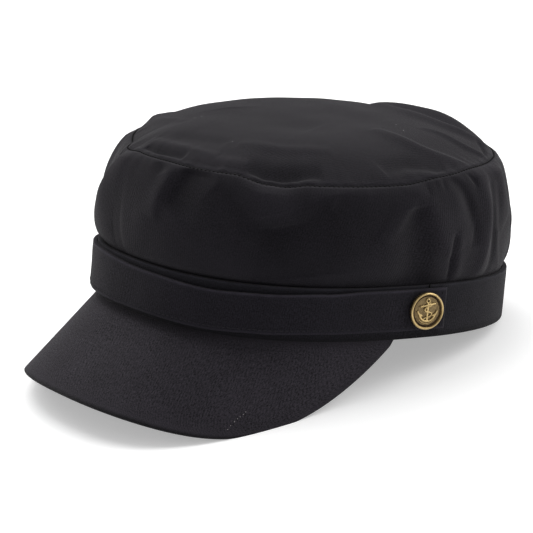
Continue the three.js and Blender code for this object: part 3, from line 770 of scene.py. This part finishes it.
# Strokes of the anchor: half thickness, how far its core stands over the field, and its run in mm.
# They are the shank, the stock, the ring, the arms, the two flukes, the rope and a line under it.
anchor_strokes = [
    (0.55, 0.25, [(0, -4.6), (0, 3.9)]),
    (0.45, 0.4, [(-3.8, 2.2), (0, 2.85), (3.8, 3.5)]),
    (0.34, 0.3, arc(0.0, 4.85, 0.9, -90, 270)),
    (0.55, 0.3, arc(0, -0.4, 4.3, 196, 344)),
    (0.45, 0.3, smooth_run([(-5.1, -0.1), (-4.5, -1.3), (-3.0, -2.0)])),
    (0.45, 0.3, smooth_run([(5.1, -0.1), (4.5, -1.3), (3.0, -2.0)])),
    (0.3, 0.5, smooth_run([
        (0.6, 4.0), (2.3, 2.6), (-1.9, 1.6), (-1.5, -0.2), (2.3, -0.6), (1.9, -2.2), (-2.0, -3.3),
    ])),
    (0.25, 0.1, arc(0, -0.6, 5.2, 222, 318)),
]


def add_stroke(mesh, half_width, rise, run):
    """A raised round-backed stroke that stands on the button's domed field."""
    cores = [Vector((x, y, FIELD_RISE - (x * x + y * y) / FIELD_ROUND + rise)) for x, y in run]
    for core in cores:
        shape = Matrix.Translation(core)
        bmesh.ops.create_uvsphere(mesh, u_segments=10, v_segments=6, radius=half_width, matrix=shape)
    for a, b in zip(cores, cores[1:]):
        shape = Matrix.Translation((a + b) / 2) @ (b - a).to_track_quat("Z", "Y").to_matrix().to_4x4()
        bmesh.ops.create_cone(
            mesh, segments=10, radius1=half_width, radius2=half_width, depth=(b - a).length, matrix=shape
        )


def old_brass():
    """Stamped brass with a brown patina that stays in the hollows and is rubbed off the high places."""
    material = plain_material("old_stamped_brass", "#3A2C22", 0.5)
    tree = material.node_tree
    shader = tree.nodes["Principled BSDF"]
    shader.inputs["Metallic"].default_value = 1.0
    raised = add_node(tree, "ShaderNodeAttribute", {"attribute_name": "wear_and_painted_light"})
    place = add_node(tree, "ShaderNodeTexCoord")
    stain = add_node(
        tree, "ShaderNodeTexNoise", {"Scale": STAINS_PER_METRE, "Detail": 4.0, "Roughness": 0.65},
        {"Vector": place.outputs["Object"]},
    )
    rubbed = add_node(
        tree, "ShaderNodeMath", {"operation": "MULTIPLY_ADD", 1: 0.7, 2: -0.35},
        {0: stain.outputs["Fac"]},
    )
    shine = add_node(
        tree, "ShaderNodeMath", {"operation": "ADD", "use_clamp": True},
        {0: raised.outputs["Fac"], 1: rubbed.outputs["Value"]},
    )
    colour = add_node(
        tree, "ShaderNodeMix", {"data_type": "RGBA", 6: linear("#40332A"), 7: linear("#C6AD7A")},
        {0: shine.outputs["Value"]},
    )
    dullness = add_node(
        tree, "ShaderNodeMath", {"operation": "MULTIPLY_ADD", 1: -0.3, 2: 0.6},
        {0: shine.outputs["Value"]},
    )
    bump = add_node(
        tree, "ShaderNodeBump", {"Strength": 0.5, "Distance": 0.06 * MM},
        {"Height": stain.outputs["Fac"]},
    )
    tree.links.new(colour.outputs[2], shader.inputs["Base Color"])
    tree.links.new(dullness.outputs["Value"], shader.inputs["Roughness"])
    tree.links.new(bump.outputs["Normal"], shader.inputs["Normal"])
    return material


brass = old_brass()


def sew_button(name, node, angle):
    mesh = bmesh.new()
    painted_light_and_wear = mesh.verts.layers.float.new("wear_and_painted_light")
    rim = [mesh.verts.new((x, 0, z)) for x, z in button_profile]
    edges = [mesh.edges.new(pair) for pair in zip(rim, rim[1:])]
    bmesh.ops.spin(
        mesh, geom=rim + edges, cent=(0, 0, 0), axis=(0, 0, 1), angle=2 * math.pi, steps=96,
        use_merge=True,
    )
    bmesh.ops.remove_doubles(mesh, verts=mesh.verts, dist=1e-4)
    for half_width, rise, run in anchor_strokes:
        add_stroke(mesh, half_width, rise, run)
    bmesh.ops.recalc_face_normals(mesh, faces=mesh.faces)
    seat = oval_point(angle, GAP + STRAP_THICKNESS + GAP + BUTTON_STEM, BUTTON_HEIGHT)
    along = (oval_point(angle + 2, 0, 0) - oval_point(angle - 2, 0, 0)).normalized()
    along = Matrix.Rotation(math.radians(-math.copysign(BUTTON_TURN, angle)), 3, "Z") @ along
    basis = Matrix((along, UP, along.cross(UP))).transposed()
    for vert in mesh.verts:
        radius = math.hypot(vert.co.x, vert.co.y)
        field = FIELD_RISE - radius ** 2 / FIELD_ROUND
        on_anchor = max(0.0, min(1.0, (vert.co.z - field - 0.05) / 0.4)) if radius < 6.2 else 0.0
        on_rim, in_groove = near(radius, 8.3, 0.75), near(radius, 7.15, 0.4)
        # On the brass this layer holds real wear and patina only: bright where the rim and anchor are
        # rubbed, brown in the groove.
        vert[painted_light_and_wear] = 0.3 + 0.7 * max(on_rim, on_anchor) - 0.5 * in_groove
        vert.co = settle(seat + basis @ vert.co)
    button = finish_piece(name, mesh, brass)
    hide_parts(node)
    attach(button, "root")


sew_button("anchor_button_left", "button_left", BUTTON_ANGLE)
sew_button("anchor_button_right", "button_right", -BUTTON_ANGLE)

# Lint: a few pale specks of fibre lie loose on the top, and on the peak a short dotted line of them,
# where a thread has caught in the ribs. They are set on the cloth like the stitches.
ACROSS = Vector((1, 0, 0))
pale_fibre = plain_material("pale_lint", "#A9A7A7", 0.9)
# On the top: angle, and how far out from the middle among the panel's rows.
top_specks = [(-27, 0.5), (-28, 0.465), (21, 0.572), (129, 0.345), (118, 0.413)]
top_bits = [(top_place(angle, part)[0], ACROSS, UP) for angle, part in top_specks]
top_lint = stitch_row("top_lint", top_bits, (0.45, 0.35, 0.3), pale_fibre)
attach(top_lint, "root")
# On the peak: angle, and how far down its run.
peak_specks = [
    (58, 0.91), (58, 0.87), (58.2, 0.83), (58.5, 0.8), (58.8, 0.78), (59.2, 0.755), (59.3, 0.73),
]
peak_bits = [(peak_point(angle, down, 1), ACROSS, UP) for angle, down in peak_specks]
peak_lint = stitch_row("peak_lint", peak_bits, (0.4, 0.35, 0.3), pale_fibre)
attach(peak_lint, "root")

# The studio: a pale floor, lit a little from beneath as a light table is, and large soft boxes over
# the cap, behind it on the left and beside it on the right, so its top and its edges are lighter than
# the side that faces the camera.
floor_paper = plain_material("floor_paper", "#E6E6E6", 0.9)
floor_shader = floor_paper.node_tree.nodes["Principled BSDF"]
floor_shader.inputs["Emission Color"].default_value = linear("#FFFFFF")
floor_shader.inputs["Emission Strength"].default_value = 0.37
floor_mesh = bmesh.new()
bmesh.ops.create_grid(floor_mesh, x_segments=1, y_segments=1, size=6.0)
floor = finish_piece("floor", floor_mesh, floor_paper)

world = bpy.data.worlds.new("studio")
world.use_nodes = True
world.node_tree.nodes["Background"].inputs["Color"].default_value = linear("#FFFFFF")
world.node_tree.nodes["Background"].inputs["Strength"].default_value = 0.45
bpy.context.scene.world = world


def soft_light(name, turn, height, distance, size, power):
    """A square soft box that looks at the cap; turn is degrees round from the camera's side."""
    data = bpy.data.lights.new(name, "AREA")
    data.size = size
    data.energy = power
    lamp = bpy.data.objects.new(name, data)
    heading = azimuth + math.radians(turn)
    place = Vector((math.sin(heading), -math.cos(heading), 0)) * distance + UP * height
    lamp.location = place
    lamp.rotation_euler = (place - Vector((0, 0, 0.06))).to_track_quat("Z", "Y").to_euler()
    bpy.context.scene.collection.objects.link(lamp)


soft_light("top_box", -160, 1.5, 0.35, 1.0, 11.5)
soft_light("left_box", -145, 1.0, 1.1, 1.0, 8)
soft_light("right_box", 100, 0.8, 1.2, 1.0, 10)
bpy.context.scene.view_settings.view_transform = "Standard"
